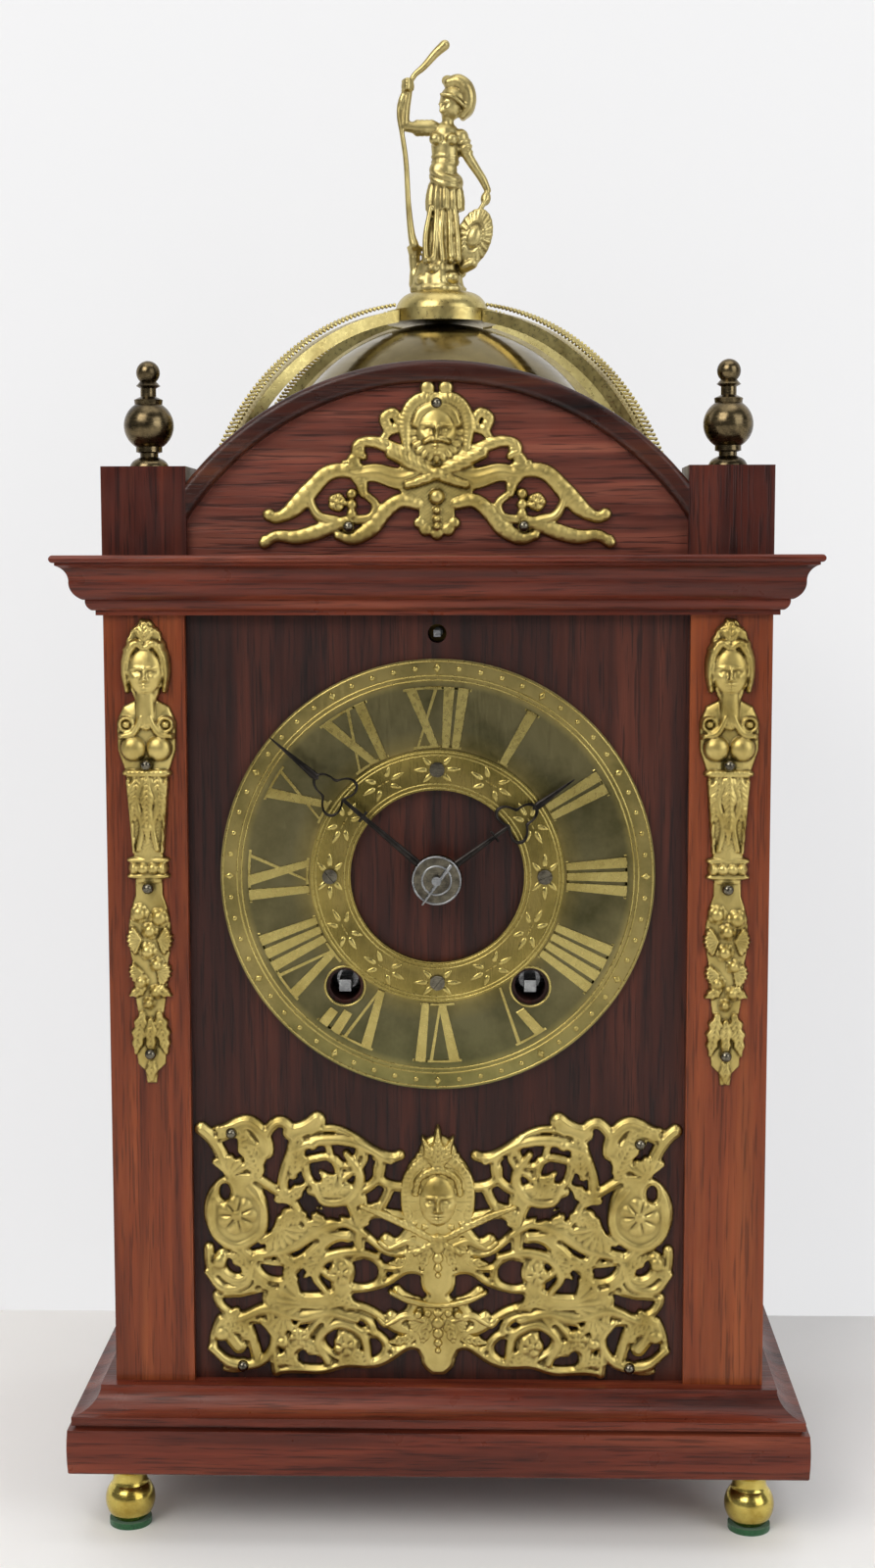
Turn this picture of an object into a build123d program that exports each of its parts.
from build123d import *
import math
import os

# Shelf clock with a striking movement. Millimetres, +Z up, front towards -Y.
# The origin is the middle of the underside: the felt pads stand on Z = 0.

# Case, overall
case_width = 213.0
case_depth = 145.7
overhang = 14.3
foot_height = 24.7
plinth_height = 26.8
body_height = 252.5
cornice_height = 19.0

# Case, boards
stile_width = 26.0
stile_thickness = 16.0
board_thickness = 12.0
board_recess = 3.0
side_thickness = 10.0
back_thickness = 12.0

# Dial and hands
dial_radius = 70.0
dial_band_radius = 41.0
dial_opening_radius = 28.0
chapter_thickness = 2.0
inner_ring_thickness = 2.9
winding_spacing = 60.0
winding_drop = 36.0
winding_hole_radius = 6.0
regulator_rise = 78.0
minute_hand_length = 70.0
hour_hand_length = 54.0
minute_hand_angle = -49.4
hour_hand_angle = 54.0

# Top ornaments
post_width = 27.0
post_height = 28.0
arch_radius = 102.0
arch_rise = 61.0
arch_moulding_width = 7.0
arch_panel_thickness = 8.0
cage_foot_radius = 91.0
cage_arm_radius = 87.5
cage_arm_width = 6.0
cage_arm_thickness = 4.0
cage_arm_azimuth = 33.0
hub_radius = 18.8
hub_top = 83.5
hub_height = 4.2
hub_dome_height = 6.5
bell_radius = 59.0
bell_wall = 2.2

# Movement
plate_gap = 42.0
plate_thickness = 2.5
plate_width = 118.0
plate_height = 130.0
motion_work_space = 14.7
pivot_radius = 0.8
arbor_radius = 1.5
thin_arbor_radius = 0.85
running = 0.05
end_shake = 0.3
barrel_radius = 22.0
barrel_wall = 1.5
great_wheel_teeth = 72
great_module = 0.75
pendulum_length = 151.7
pendulum_bob_radius = 21.0

# Small clearances
seat_gap = 0.1
free_gap = 0.3

# Places worked out from the sizes above
half_width = case_width / 2
body_front = (overhang - case_depth) / 2
body_back = body_front + case_depth
plinth_top = foot_height + plinth_height
body_top = plinth_top + body_height
cornice_top = body_top + cornice_height
board_front = body_front + board_recess
board_back = board_front + board_thickness
side_front = body_front + stile_thickness
side_inner = half_width - side_thickness
back_front = body_back - back_thickness
stile_inner = half_width - stile_width
dial_height = plinth_top + 168.5
front_plate_front = board_back + motion_work_space
front_plate_back = front_plate_front + plate_thickness
back_plate_front = front_plate_back + plate_gap
back_plate_back = back_plate_front + plate_thickness
crown_y = body_front + 73.2


def save(piece, name):
    """Label one finished piece and write it to its own file."""
    piece.part.label = name
    export_step(piece.part, f"parts/{name}.step")


def front_plane(x, z, y):
    """A plane seen from the front: local x to the right, local y up."""
    return Plane(origin=(x, y, z), x_dir=(1, 0, 0), z_dir=(0, -1, 0))


def dial_plane(x, z, y):
    """The same plane, with x and z counted from the dial's centre."""
    return front_plane(x, dial_height + z, y)


def disc(x, z, y_front, y_back, radius, mode=Mode.ADD):
    """A round layer on an arbor that runs front to back."""
    with BuildSketch(dial_plane(x, z, y_back)) as outline:
        Circle(radius)
    extrude(outline.sketch, amount=y_back - y_front, mode=mode)


def block(x_low, x_high, y_low, y_high, z_low, z_high, mode=Mode.ADD):
    """A board or bar between six planes."""
    with BuildSketch(Plane.XY.offset(z_low)) as outline:
        with Locations(((x_low + x_high) / 2, (y_low + y_high) / 2)):
            Rectangle(x_high - x_low, y_high - y_low)
    extrude(outline.sketch, amount=z_high - z_low, mode=mode)


def polar(radius, degrees):
    """The point at a radius and an angle, in a plane's own x and y."""
    return (radius * math.cos(math.radians(degrees)), radius * math.sin(math.radians(degrees)))


os.makedirs("parts", exist_ok=True)

# Where the cage's four feet are screwed to the top board
cage_azimuths = [cage_arm_azimuth, 180 - cage_arm_azimuth, 180 + cage_arm_azimuth, -cage_arm_azimuth]
cage_screw_reach = cage_foot_radius - 8.0
cage_screw_offsets = [polar(cage_screw_reach, azimuth) for azimuth in cage_azimuths]
cage_screw_places = [(across, crown_y + back) for across, back in cage_screw_offsets]
mount_shank_radius = 0.7
mount_shank_length = 6.0


def cage_screw_holes(z_low, z_high):
    """Holes for the screws through the cage's feet, in the active part."""
    with BuildSketch(Plane.XY.offset(z_low)) as holes:
        with Locations(cage_screw_places):
            Circle(mount_shank_radius + running)
    extrude(holes.sketch, amount=z_high - z_low, mode=Mode.SUBTRACT)

# Case: base board, mouldings, stiles, boards and top

plinth_face = 15.0
plinth_nose = 12.8
plinth_cove_foot = 19.0
cove_rise = plinth_height - plinth_cove_foot
ledge = 4.4
groove = 1.2
mitre_gap = 0.1


def plinth_profile(plane):
    """Ledge, hollow, nose, groove and bulging face, outward from the base board."""
    with BuildSketch(plane) as profile:
        with BuildLine():
            Line((0, 0), (overhang - 1.2, 0))
            ThreePointArc((overhang - 1.2, 0), (overhang - 0.5, 0.4), (overhang - 0.3, 1.2))
            ThreePointArc((overhang - 0.3, 1.2), (overhang, plinth_face / 2), (overhang - 0.3, plinth_face))
            Line((overhang - 0.3, plinth_face), (plinth_nose, plinth_face))
            Line((plinth_nose, plinth_face), (plinth_nose, plinth_cove_foot))
            hollow = (ledge + (plinth_nose - ledge) * 0.3, plinth_cove_foot + cove_rise * 0.28)
            ThreePointArc((plinth_nose, plinth_cove_foot), hollow, (ledge, plinth_height - 1.0))
            Line((ledge, plinth_height - 1.0), (ledge, plinth_height))
            Line((ledge, plinth_height), (0, plinth_height))
            Line((0, plinth_height), (0, 0))
        make_face()
        with Locations((plinth_nose, plinth_face + groove / 2)):
            Rectangle(groove * 2, groove, mode=Mode.SUBTRACT)
    return profile.sketch


cornice_step = 1.6
cornice_ovolo = 5.0
cornice_cyma_top = 15.8
cornice_nose = 2.4


def cornice_profile(plane):
    """Small step, quarter round, double curve and rounded nose, outward from the top board."""
    nose_foot = cornice_height - cornice_nose
    nose_face = overhang - cornice_nose / 2
    middle = (overhang * 0.64, (cornice_ovolo + cornice_cyma_top) / 2)
    with BuildSketch(plane) as profile:
        with BuildLine():
            Line((0, 0), (2.0, 0))
            Line((2.0, 0), (2.0, cornice_step))
            Line((2.0, cornice_step), (3.0, cornice_step))
            ThreePointArc((3.0, cornice_step), (4.4, 2.9), (4.8, cornice_ovolo))
            Line((4.8, cornice_ovolo), (5.4, cornice_ovolo))
            ThreePointArc((5.4, cornice_ovolo), (8.0, 7.0), middle)
            ThreePointArc(middle, (10.2, 14.0), (overhang - 1.5, cornice_cyma_top))
            Line((overhang - 1.5, cornice_cyma_top), (overhang - 1.5, nose_foot))
            Line((overhang - 1.5, nose_foot), (nose_face, nose_foot))
            nose_middle = (overhang, nose_foot + cornice_nose / 2)
            ThreePointArc((nose_face, nose_foot), nose_middle, (nose_face, cornice_height))
            Line((nose_face, cornice_height), (0, cornice_height))
            Line((0, cornice_height), (0, 0))
        make_face()
    return profile.sketch


def run_of_moulding(profile_of, z_low, height):
    """A moulding round the front and both sides, mitred at the front corners."""
    reach = overhang + 1.0
    half_gap = mitre_gap / 2
    front_of = Plane(origin=(half_width + overhang, body_front, z_low), x_dir=(0, -1, 0), z_dir=(-1, 0, 0))
    side_of = Plane(origin=(half_width, body_back, z_low), x_dir=(1, 0, 0), z_dir=(0, -1, 0))
    with BuildPart() as front_run:
        extrude(profile_of(front_of), amount=case_width + 2 * overhang)
        with BuildSketch(Plane.XY.offset(z_low)) as mitres:
            Polygon(
                (-half_width + half_gap, body_front),
                (half_width - half_gap, body_front),
                (half_width + reach - half_gap, body_front - reach),
                (-half_width - reach + half_gap, body_front - reach),
                align=None,
            )
        extrude(mitres.sketch, amount=height, mode=Mode.INTERSECT)
    with BuildPart() as side_run:
        extrude(profile_of(side_of), amount=case_depth + overhang)
        with BuildSketch(Plane.XY.offset(z_low)) as mitre:
            Polygon(
                (half_width, body_back),
                (half_width, body_front + half_gap),
                (half_width + reach, body_front - reach + half_gap),
                (half_width + reach, body_back),
                align=None,
            )
        extrude(mitre.sketch, amount=height, mode=Mode.INTERSECT)
        mirror(about=Plane.YZ)
    return front_run.part, side_run.part


foot_flange_radius = 10.7
foot_flange_height = 3.6
foot_neck_radius = 6.1
foot_ball_radius = 8.3
felt_radius = 7.0
felt_height = 2.0
foot_inset_side = 3.0
foot_inset_front = 5.7
foot_x = half_width - foot_inset_side
foot_y = body_front + foot_inset_front
foot_places = [(foot_x, foot_y), (-foot_x, foot_y), (foot_x, body_back - 20.0), (-foot_x, body_back - 20.0)]

with BuildPart() as base_board:
    block(-half_width, half_width, body_front, body_back, foot_height, plinth_top)
save(base_board, "base_board")

with BuildPart() as base_mouldings:
    for run in run_of_moulding(plinth_profile, foot_height, plinth_height):
        add(run)
save(base_mouldings, "base_mouldings")

with BuildPart() as feet:
    ball_centre = felt_height + foot_ball_radius * 0.8
    flat_radius = foot_ball_radius * 0.6
    with BuildSketch(Plane.XZ) as foot_profile:
        with BuildLine():
            Line((0, felt_height), (flat_radius, felt_height))
            ThreePointArc(
                (flat_radius, felt_height),
                (foot_ball_radius, ball_centre),
                (foot_neck_radius, ball_centre + foot_ball_radius * 0.68),
            )
            ThreePointArc(
                (foot_neck_radius, ball_centre + foot_ball_radius * 0.68),
                (foot_neck_radius + 0.6, foot_height - foot_flange_height - 1.6),
                (foot_flange_radius - 1.2, foot_height - foot_flange_height),
            )
            ThreePointArc(
                (foot_flange_radius - 1.2, foot_height - foot_flange_height),
                (foot_flange_radius, foot_height - foot_flange_height / 2),
                (foot_flange_radius - 0.6, foot_height),
            )
            Line((foot_flange_radius - 0.6, foot_height), (0, foot_height))
            Line((0, foot_height), (0, felt_height))
        make_face()
    with Locations([(x, y, 0) for x, y in foot_places]):
        foot = revolve(foot_profile.sketch, axis=Axis.Z, mode=Mode.PRIVATE)
        add(foot)
save(feet, "feet")

with BuildPart() as felt_pads:
    with BuildSketch(Plane.XY) as pad_outline:
        with Locations(foot_places):
            Circle(felt_radius)
    extrude(pad_outline.sketch, amount=felt_height)
save(felt_pads, "felt_pads")

with BuildPart() as side_panels:
    block(side_inner, half_width, side_front, body_back, plinth_top, body_top)
    mirror(about=Plane.YZ)
save(side_panels, "side_panels")

with BuildPart() as cornice_mouldings:
    for run in run_of_moulding(cornice_profile, body_top, cornice_height):
        add(run)
save(cornice_mouldings, "cornice_mouldings")

# Gear train: tooth counts, modules and where each arbor stands

pinion_leaves = 10
centre_pinion_leaves = 10
intermediate_teeth = 50
centre_teeth = 84
centre_module = 0.45
third_pinion_leaves = 7
third_teeth = 84
third_module = 0.4
escape_pinion_leaves = 7
escape_teeth = 32
escape_radius = 14.0
pallet_span = 42.2
third_direction = 60.0
strike_module = 0.5
pin_wheel_teeth = 64
warning_pinion_leaves = 8
warning_direction = 100.0
warning_teeth = 56
fly_pinion_leaves = 7
fly_direction = 60.0
strike_pins = 8
strike_pin_circle = 14.0
strike_pin_radius = 0.6
cannon_teeth = 20
minute_wheel_teeth = 60
minute_module = 0.375
minute_pinion_leaves = 12
hour_wheel_teeth = 48
hour_module = 0.5
ratchet_teeth = 18
ratchet_radius = 9.0
wheel_thickness = 1.5
pinion_length = 3.0


def spacing(module, teeth, leaves):
    """The distance between the arbors of a wheel and its pinion."""
    return module * (teeth + leaves) / 2


def towards(start, distance, degrees):
    """The point at a distance and a direction from another."""
    step = polar(distance, degrees)
    return (start[0] + step[0], start[1] + step[1])


def direction(start, end):
    """The direction from one point to another, in degrees."""
    return math.degrees(math.atan2(end[1] - start[1], end[0] - start[0]))


def meeting_point(first, second, from_first, from_second, side):
    """The point at two given distances from two others, to one side of their line."""
    apart = math.dist(first, second)
    along = (from_first**2 - from_second**2 + apart**2) / (2 * apart)
    aside = math.sqrt(from_first**2 - along**2)
    line = direction(first, second)
    return towards(towards(first, along, line), aside, line + 90 * side)


going_place = (winding_spacing / 2, -winding_drop)
strike_place = (-winding_spacing / 2, -winding_drop)
centre_place = (0.0, 0.0)
great_spacing = spacing(great_module, great_wheel_teeth, pinion_leaves)
intermediate_spacing = spacing(great_module, intermediate_teeth, centre_pinion_leaves)
intermediate_place = meeting_point(going_place, centre_place, great_spacing, intermediate_spacing, -1)
pin_wheel_place = (-intermediate_place[0], intermediate_place[1])
third_place = towards(centre_place, spacing(centre_module, centre_teeth, third_pinion_leaves), third_direction)
escape_spacing = spacing(third_module, third_teeth, escape_pinion_leaves)
escape_place = (0.0, third_place[1] + math.sqrt(escape_spacing**2 - third_place[0] ** 2))
anchor_place = (0.0, escape_place[1] + escape_radius / math.cos(math.radians(pallet_span)))
warning_place = towards(
    pin_wheel_place, spacing(strike_module, pin_wheel_teeth, warning_pinion_leaves), warning_direction
)
fly_place = towards(warning_place, spacing(strike_module, warning_teeth, fly_pinion_leaves), fly_direction)
hammer_place = (-43.0, 5.0)
minute_wheel_place = (0.0, spacing(minute_module, minute_wheel_teeth, cannon_teeth))
regulator_place = (0.0, regulator_rise)

# Depths of the wheels, counted from the front plate's inner face
great_depth = 2.5
centre_wheel_depth = 13.5
fly_depth = 13.5
warning_depth = 19.5
third_depth = 21.5
escape_depth = 29.5
barrel_length = 26.0
intermediate_depth = 35.5


def at_depth(depth):
    """A depth inside the movement, as a place along Y."""
    return front_plate_back + depth


def tooth_points(teeth, module, phase, addendum, dedendum, pitch_half, tip_half, root_half):
    """The corners of a toothed outline, one tooth centred on the phase."""
    pitch_radius = module * teeth / 2
    rings = [
        (pitch_radius - dedendum * module, -root_half),
        (pitch_radius, -pitch_half),
        (pitch_radius + addendum * module, -tip_half),
        (pitch_radius + addendum * module, tip_half),
        (pitch_radius, pitch_half),
        (pitch_radius - dedendum * module, root_half),
    ]
    pitch = 360 / teeth
    return [polar(radius, phase + pitch * (tooth + share)) for tooth in range(teeth) for radius, share in rings]


def wheel_outline(plane, teeth, module, phase):
    """A brass wheel's toothed outline."""
    with BuildSketch(plane) as outline:
        with BuildLine():
            Polyline(*tooth_points(teeth, module, phase, 0.85, 1.25, 0.19, 0.07, 0.24), close=True)
        make_face()
    return outline.sketch


def pinion_outline(plane, leaves, module, phase):
    """A steel pinion's outline, with slender leaves."""
    with BuildSketch(plane) as outline:
        with BuildLine():
            Polyline(*tooth_points(leaves, module, phase, 0.55, 1.35, 0.16, 0.10, 0.12), close=True)
        make_face()
    return outline.sketch


def crossings(place, y_front, y_back, hub, rim, spokes):
    """Cut the openings between a wheel's spokes."""
    with BuildSketch(dial_plane(*place, y_back)) as windows:
        Circle(rim)
        Circle(hub, mode=Mode.SUBTRACT)
        with PolarLocations(0, spokes):
            with Locations((rim / 2, 0)):
                Rectangle(rim + 1, rim * 0.14, mode=Mode.SUBTRACT)
    extrude(windows.sketch, amount=y_back - y_front, mode=Mode.SUBTRACT)


def wheel(place, depth, teeth, module, phase, spokes=5):
    """A crossed-out brass wheel on its arbor, in the active part."""
    y_front = at_depth(depth)
    y_back = y_front + wheel_thickness
    root = module * (teeth / 2 - 1.25)
    extrude(wheel_outline(dial_plane(*place, y_back), teeth, module, phase), amount=wheel_thickness)
    crossings(place, y_front, y_back, root * 0.24, root * 0.86, spokes)


def pinion(place, depth, leaves, module, phase):
    """A pinion on its arbor, in the active part."""
    y_back = at_depth(depth) + (wheel_thickness + pinion_length) / 2
    extrude(pinion_outline(dial_plane(*place, y_back), leaves, module, phase), amount=pinion_length)


def arbor(place, radius=arbor_radius):
    """An arbor between the plates, with a pivot at each end."""
    disc(*place, front_plate_back + end_shake, back_plate_front - end_shake, radius)
    disc(*place, front_plate_front + end_shake, back_plate_back - end_shake, pivot_radius)


def bar_points(start, end, start_width, end_width):
    """The corners of a straight bar between two points, with a width at each end."""
    line = direction(start, end)
    return [
        towards(start, start_width / 2, line + 90),
        towards(start, start_width / 2, line - 90),
        towards(end, end_width / 2, line - 90),
        towards(end, end_width / 2, line + 90),
    ]


def gap_phase(leaves, line):
    """The phase that turns a pinion's gap towards a direction."""
    return line + 180 / leaves


# Movement: plates, pillars and screws

pillar_radius = 4.0
pillar_x = 54.0
pillar_low = -58.0
pillar_high = 60.0
plate_low = -63.0
ear_half_width = 9.0
ear_top = regulator_rise + 4.5
mounting_low = -45.0
mounting_high = 45.0
screw_radius = 1.5
screw_head_radius = 3.2
screw_head_height = 1.6
screw_slot = 0.7
pillar_places = [(x, z) for x in (-pillar_x, pillar_x) for z in (pillar_low, pillar_high)]
mounting_places = [(x, z) for x in (-pillar_x, pillar_x) for z in (mounting_low, mounting_high)]
mounting_bite = 8.0
winding_arbor_radius = 3.5
winding_square = 3.8
stud_radius = 1.2
click_reach = 17.0
click_direction = -40.0
going_click_place = towards(going_place, click_reach, click_direction)
strike_click_place = (-going_click_place[0], going_click_place[1])
click_places = [going_click_place, strike_click_place]
anchor_bearing_radius = arbor_radius + running

train_pivots = [
    intermediate_place,
    third_place,
    escape_place,
    pin_wheel_place,
    warning_place,
    fly_place,
    hammer_place,
]


def plate_blank(y_front, y_back):
    """A plate with its top ear and the holes that both plates share."""
    with BuildSketch(dial_plane(0, 0, y_back)) as outline:
        with Locations((0, plate_low + plate_height / 2)):
            Rectangle(plate_width, plate_height)
        with Locations((0, (plate_low + plate_height + ear_top) / 2 - 1)):
            Rectangle(2 * ear_half_width, ear_top - plate_low - plate_height + 2)
        with Locations(train_pivots):
            Circle(pivot_radius + running, mode=Mode.SUBTRACT)
        with Locations(pillar_places):
            Circle(screw_radius + running, mode=Mode.SUBTRACT)
        with Locations(regulator_place):
            Circle(arbor_radius + running, mode=Mode.SUBTRACT)
    extrude(outline.sketch, amount=y_back - y_front)


with BuildPart() as front_plate:
    plate_blank(front_plate_front, front_plate_back)
    for place in mounting_places:
        disc(*place, front_plate_front, front_plate_back, screw_radius + running, Mode.SUBTRACT)
    for place in (going_place, strike_place):
        disc(*place, front_plate_front, front_plate_back, winding_arbor_radius + running, Mode.SUBTRACT)
    disc(*centre_place, front_plate_front, front_plate_back, arbor_radius + running, Mode.SUBTRACT)
    disc(*anchor_place, front_plate_front, front_plate_back, pivot_radius + running, Mode.SUBTRACT)
    disc(*minute_wheel_place, front_plate_front - 8.0, front_plate_front, stud_radius)
    for place in click_places:
        disc(*place, front_plate_front - 3.2, front_plate_front, stud_radius)
save(front_plate, "front_plate")

cock_screw_places = [(-14.0, 62.0), (14.0, 62.0)]

with BuildPart() as back_plate:
    plate_blank(back_plate_front, back_plate_back)
    for place in (going_place, strike_place, centre_place):
        disc(*place, back_plate_front, back_plate_back, arbor_radius + running, Mode.SUBTRACT)
    disc(*anchor_place, back_plate_front, back_plate_back, anchor_bearing_radius, Mode.SUBTRACT)
    for place in cock_screw_places:
        disc(*place, back_plate_front, back_plate_back, screw_radius + running, Mode.SUBTRACT)
save(back_plate, "back_plate")

screw_bite = 7.0

with BuildPart() as plate_pillars:
    for place in pillar_places:
        disc(*place, front_plate_back, back_plate_front, pillar_radius)
        disc(*place, front_plate_back, front_plate_back + screw_bite, screw_radius + running, Mode.SUBTRACT)
        disc(*place, back_plate_front - screw_bite, back_plate_front, screw_radius + running, Mode.SUBTRACT)
    for place in mounting_places:
        disc(*place, board_back, front_plate_front, pillar_radius)
        disc(*place, board_back, front_plate_front, screw_radius + running, Mode.SUBTRACT)
save(plate_pillars, "plate_pillars")


def screw_slot_cut(x, z, y_front, y_back):
    """The slot across a screw's head, for a plane that faces front or back."""
    with BuildSketch(dial_plane(x, z, y_back)) as slot:
        Rectangle(2 * screw_head_radius + 1, screw_slot)
    extrude(slot.sketch, amount=y_back - y_front, mode=Mode.SUBTRACT)


with BuildPart() as movement_screws:
    half_head = screw_head_height / 2
    for place in pillar_places:
        disc(*place, front_plate_front, front_plate_back + screw_bite - free_gap, screw_radius)
        disc(*place, front_plate_front - screw_head_height, front_plate_front, screw_head_radius)
        screw_slot_cut(*place, front_plate_front - screw_head_height, front_plate_front - half_head)
        disc(*place, back_plate_front - screw_bite + free_gap, back_plate_back, screw_radius)
        disc(*place, back_plate_back, back_plate_back + screw_head_height, screw_head_radius)
        screw_slot_cut(*place, back_plate_back + half_head, back_plate_back + screw_head_height)
    for place in mounting_places:
        disc(*place, board_back - mounting_bite + free_gap, front_plate_back, screw_radius)
        disc(*place, front_plate_back, front_plate_back + screw_head_height, screw_head_radius)
        screw_slot_cut(*place, front_plate_back + half_head, front_plate_back + screw_head_height)
save(movement_screws, "movement_screws")

# Going train, from the barrel to the anchor

spring_inner = 9.0
cap_gap = 1.0


def barrel(place, phase):
    """A great wheel on a hollow spring barrel, in the active part."""
    y_front = at_depth(great_depth)
    y_back = y_front + wheel_thickness + 0.5
    drum_back = y_back + barrel_length
    outline = wheel_outline(dial_plane(*place, y_back), great_wheel_teeth, great_module, phase)
    extrude(outline, amount=y_back - y_front)
    disc(*place, y_back, drum_back, barrel_radius)
    disc(*place, y_back, drum_back - barrel_wall, barrel_radius - barrel_wall, Mode.SUBTRACT)
    disc(*place, y_front, drum_back, winding_arbor_radius + running, Mode.SUBTRACT)


def mainspring(place):
    """The coiled spring's outer shape, filling the space inside a barrel."""
    y_front = at_depth(great_depth) + wheel_thickness + 0.5 + cap_gap
    y_back = y_front + barrel_length - barrel_wall - 2 * cap_gap
    disc(*place, y_front, y_back, barrel_radius - barrel_wall - running)
    disc(*place, y_front, y_back, spring_inner, Mode.SUBTRACT)


ratchet_back = front_plate_front - 1.2
ratchet_front = ratchet_back - wheel_thickness
square_front = body_front + board_recess - 1.2


def ratchet_points(side):
    """A saw-toothed ring whose steep sides face one way round."""
    inner = ratchet_radius * 0.84
    step = 360 / ratchet_teeth
    points = []
    for tooth in range(ratchet_teeth):
        points.append(polar(inner, side * step * tooth))
        points.append(polar(ratchet_radius, side * step * (tooth + 0.12)))
    return points


def winding_arbor(place, side):
    """Arbor with its ratchet wheel and the square that the key turns, in the active part."""
    disc(*place, board_back - 1.0, back_plate_front - end_shake, winding_arbor_radius)
    disc(*place, back_plate_front - end_shake, back_plate_back - end_shake, arbor_radius)
    with BuildSketch(dial_plane(*place, ratchet_back)) as saw:
        with BuildLine():
            Polyline(*ratchet_points(side), close=True)
        make_face()
    extrude(saw.sketch, amount=wheel_thickness)
    with BuildSketch(dial_plane(*place, board_back - 1.0)) as square:
        Rectangle(winding_square, winding_square)
    extrude(square.sketch, amount=board_back - 1.0 - square_front)


click_length = click_reach - ratchet_radius
click_ring = 2.8


def click(place, ratchet_place):
    """A lever whose tip stands just clear of its ratchet's teeth, in the active part."""
    tip = towards(place, click_length - free_gap, direction(place, ratchet_place))
    disc(*place, ratchet_front, ratchet_back, click_ring)
    with BuildSketch(dial_plane(0, 0, ratchet_back)) as lever:
        Polygon(*bar_points(place, tip, click_ring * 1.9, 0.8), align=None)
    extrude(lever.sketch, amount=wheel_thickness)
    disc(*place, ratchet_front, ratchet_back, stud_radius + running, Mode.SUBTRACT)


with BuildPart() as going_barrel:
    barrel(going_place, direction(going_place, intermediate_place))
save(going_barrel, "going_barrel")

with BuildPart() as going_mainspring:
    mainspring(going_place)
save(going_mainspring, "going_mainspring")

with BuildPart() as going_winding_arbor:
    winding_arbor(going_place, 1)
save(going_winding_arbor, "going_winding_arbor")

with BuildPart() as going_click:
    click(going_click_place, going_place)
save(going_click, "going_click")

with BuildPart() as intermediate_wheel:
    arbor(intermediate_place)
    to_great = direction(intermediate_place, going_place)
    to_centre = direction(intermediate_place, centre_place)
    wheel(intermediate_place, intermediate_depth, intermediate_teeth, great_module, to_centre)
    pinion(intermediate_place, great_depth, pinion_leaves, great_module, gap_phase(pinion_leaves, to_great))
save(intermediate_wheel, "intermediate_wheel")

# Centre arbor: wheel, pinion and the cannon that carries the minute hand

hand_hub_radius = 8.2
cannon_radius = 2.2
hour_pipe_radius = 3.3
motion_gap = 1.6
cannon_back = front_plate_front - motion_gap
cannon_front = cannon_back - wheel_thickness - 0.5
hour_back = cannon_front - 2.0
hour_front = hour_back - wheel_thickness
hour_hand_back = body_front - 2.6
hour_hand_thickness = 1.2
hour_hand_front = hour_hand_back - hour_hand_thickness
minute_hand_back = hour_hand_front - 1.8
minute_hand_thickness = 1.2
minute_hand_front = minute_hand_back - minute_hand_thickness
collet_height = 1.6
arbor_tip = minute_hand_front - collet_height - 2.2

with BuildPart() as centre_arbor:
    disc(*centre_place, front_plate_back + end_shake, back_plate_front - end_shake, arbor_radius)
    disc(*centre_place, back_plate_front - end_shake, back_plate_back - end_shake, arbor_radius)
    disc(*centre_place, arbor_tip, front_plate_back + end_shake, arbor_radius)
    disc(*centre_place, minute_hand_back, cannon_back, cannon_radius)
    to_third = direction(centre_place, third_place)
    to_intermediate = direction(centre_place, intermediate_place)
    wheel(centre_place, centre_wheel_depth, centre_teeth, centre_module, to_third)
    centre_phase = gap_phase(centre_pinion_leaves, to_intermediate)
    pinion(centre_place, intermediate_depth, centre_pinion_leaves, great_module, centre_phase)
    cannon_phase = gap_phase(cannon_teeth, 90)
    cannon_plane = dial_plane(*centre_place, cannon_back)
    cannon = pinion_outline(cannon_plane, cannon_teeth, minute_module, cannon_phase)
    extrude(cannon, amount=cannon_back - cannon_front)
save(centre_arbor, "centre_arbor")

with BuildPart() as minute_wheel:
    mesh_front = hour_front - 0.4
    minute_plane = dial_plane(*minute_wheel_place, cannon_back)
    extrude(wheel_outline(minute_plane, minute_wheel_teeth, minute_module, -90), amount=wheel_thickness)
    minute_phase = gap_phase(minute_pinion_leaves, -90)
    leaves = pinion_outline(minute_plane, minute_pinion_leaves, hour_module, minute_phase)
    extrude(leaves, amount=cannon_back - mesh_front)
    disc(*minute_wheel_place, mesh_front, cannon_back, stud_radius + running, Mode.SUBTRACT)
save(minute_wheel, "minute_wheel")

with BuildPart() as hour_wheel:
    hour_plane = dial_plane(*centre_place, hour_back)
    extrude(wheel_outline(hour_plane, hour_wheel_teeth, hour_module, 90), amount=wheel_thickness)
    disc(*centre_place, hour_hand_back, hour_back, hour_pipe_radius)
    disc(*centre_place, hour_hand_front, hour_back, cannon_radius + running + 0.45)
    disc(*centre_place, hour_hand_front, hour_back, cannon_radius + running, Mode.SUBTRACT)
save(hour_wheel, "hour_wheel")

# Hands: a slender blade, three open rings and a cross bar

trefoil_ring = 3.9
trefoil_hole = 2.3
blade_width = 2.2
tip_width = 1.1
cross_bar = 7.0


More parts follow.
